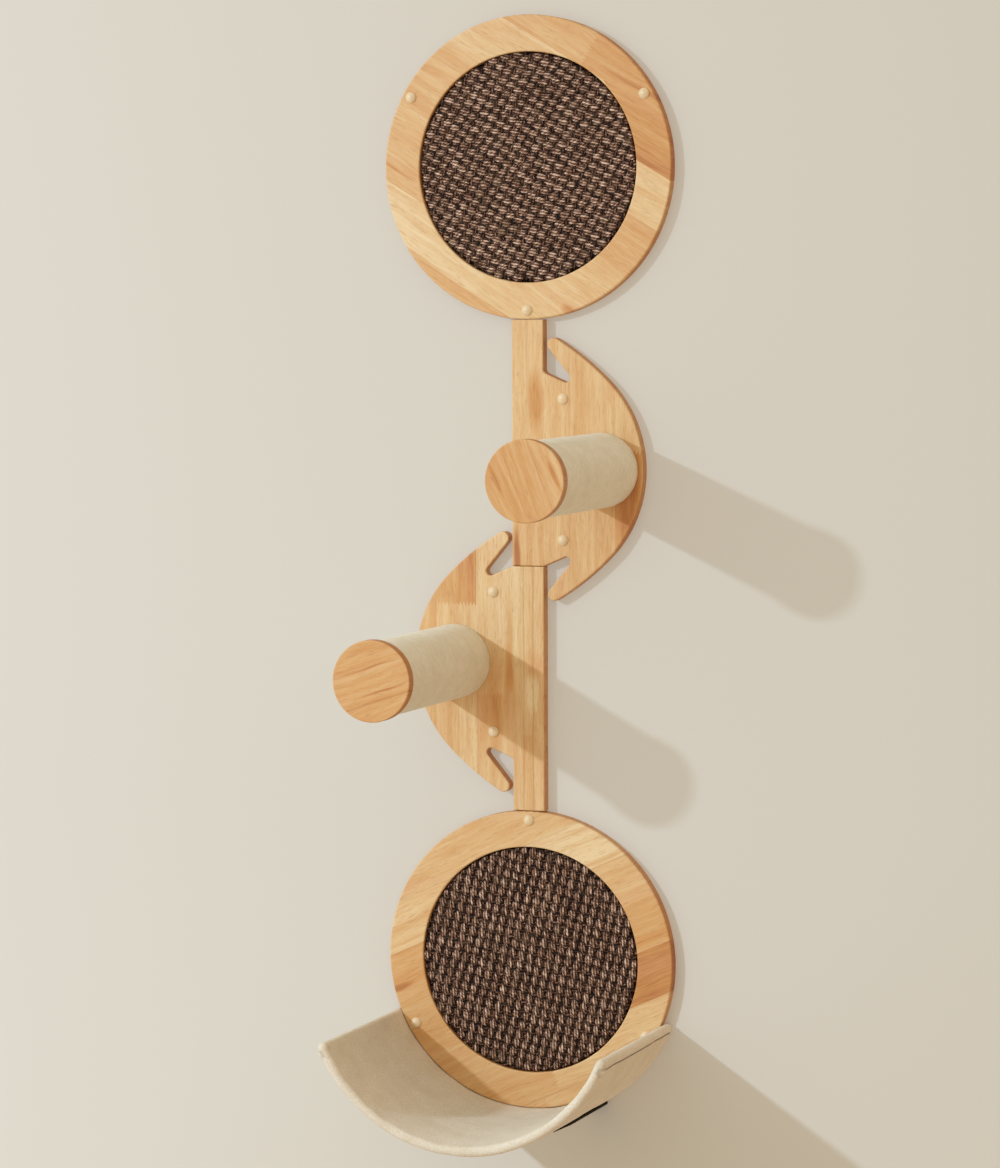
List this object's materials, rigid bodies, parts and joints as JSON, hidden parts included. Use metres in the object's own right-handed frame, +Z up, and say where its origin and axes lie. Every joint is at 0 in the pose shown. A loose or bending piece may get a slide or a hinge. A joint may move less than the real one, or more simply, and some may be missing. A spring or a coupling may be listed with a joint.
{
  "type": "cat wall step",
  "caption": "Wall-mounted cat climber: round sisal scratch discs joined by step plates with felt climbing posts, and a felt-covered half-pipe cradle below.",
  "frame": {"origin": "on the wall plane, where the upper and the lower step plate meet", "axes": "+X to the right seen from the room, +Y into the wall, +Z up"},
  "size_m": [0.3, 0.275, 1.1012],
  "materials": {
    "rubberwood": "satin lacquer",
    "plug_wood": "raw",
    "plywood": "raw",
    "tube_board": "raw spiral-wound board",
    "sisal": "coarse weave",
    "felt": "short nap",
    "cap_plastic": "smooth",
    "black_steel": "powder coat",
    "zinc_steel": "zinc plated"
  },
  "bodies": {
    "wall_set": {"top_disc": "rubberwood", "bottom_disc": "rubberwood", "upper_step_plate": "rubberwood", "lower_step_plate": "rubberwood", "upper_post_end_cap": "rubberwood", "lower_post_end_cap": "rubberwood", "upper_post_base_plug": "plug_wood", "lower_post_base_plug": "plug_wood", "cradle_shell": "plywood", "upper_post_tube": "tube_board", "lower_post_tube": "tube_board", "top_sisal_mat": "sisal", "bottom_sisal_mat": "sisal", "upper_post_felt": "felt", "lower_post_felt": "felt", "cradle_felt": "felt", "cradle_bracket_left": "black_steel", "cradle_bracket_right": "black_steel", "cradle_bracket_screws": "black_steel", "top_disc_screws": "zinc_steel", "bottom_disc_screws": "zinc_steel", "upper_step_screws": "zinc_steel", "lower_step_screws": "zinc_steel", "upper_post_bolt": "zinc_steel", "lower_post_bolt": "zinc_steel", "upper_post_insert_nut": "zinc_steel", "lower_post_insert_nut": "zinc_steel", "bracket_leg_screws": "zinc_steel"},
    "top_disc_cap_bottom": {"top_disc_cap_bottom": "cap_plastic"},
    "top_disc_cap_right": {"top_disc_cap_right": "cap_plastic"},
    "top_disc_cap_left": {"top_disc_cap_left": "cap_plastic"},
    "upper_step_cap_top": {"upper_step_cap_top": "cap_plastic"},
    "upper_step_cap_bottom": {"upper_step_cap_bottom": "cap_plastic"},
    "lower_step_cap_top": {"lower_step_cap_top": "cap_plastic"},
    "lower_step_cap_bottom": {"lower_step_cap_bottom": "cap_plastic"},
    "bottom_disc_cap_top": {"bottom_disc_cap_top": "cap_plastic"},
    "bottom_disc_cap_left": {"bottom_disc_cap_left": "cap_plastic"},
    "bottom_disc_cap_right": {"bottom_disc_cap_right": "cap_plastic"}
  },
  "joints": [
    {"name": "top_disc_cap_bottom_pull", "type": "slide", "parent": "wall_set", "child": "top_disc_cap_bottom", "axis": [0, -1, 0], "range_m": [0, 0.006]},
    {"name": "top_disc_cap_right_pull", "type": "slide", "parent": "wall_set", "child": "top_disc_cap_right", "axis": [0, -1, 0], "range_m": [0, 0.006]},
    {"name": "top_disc_cap_left_pull", "type": "slide", "parent": "wall_set", "child": "top_disc_cap_left", "axis": [0, -1, 0], "range_m": [0, 0.006]},
    {"name": "upper_step_cap_top_pull", "type": "slide", "parent": "wall_set", "child": "upper_step_cap_top", "axis": [0, -1, 0], "range_m": [0, 0.006]},
    {"name": "upper_step_cap_bottom_pull", "type": "slide", "parent": "wall_set", "child": "upper_step_cap_bottom", "axis": [0, -1, 0], "range_m": [0, 0.006]},
    {"name": "lower_step_cap_top_pull", "type": "slide", "parent": "wall_set", "child": "lower_step_cap_top", "axis": [0, -1, 0], "range_m": [0, 0.006]},
    {"name": "lower_step_cap_bottom_pull", "type": "slide", "parent": "wall_set", "child": "lower_step_cap_bottom", "axis": [0, -1, 0], "range_m": [0, 0.006]},
    {"name": "bottom_disc_cap_top_pull", "type": "slide", "parent": "wall_set", "child": "bottom_disc_cap_top", "axis": [0, -1, 0], "range_m": [0, 0.006]},
    {"name": "bottom_disc_cap_left_pull", "type": "slide", "parent": "wall_set", "child": "bottom_disc_cap_left", "axis": [0, -1, 0], "range_m": [0, 0.006]},
    {"name": "bottom_disc_cap_right_pull", "type": "slide", "parent": "wall_set", "child": "bottom_disc_cap_right", "axis": [0, -1, 0], "range_m": [0, 0.006]}
  ]
}
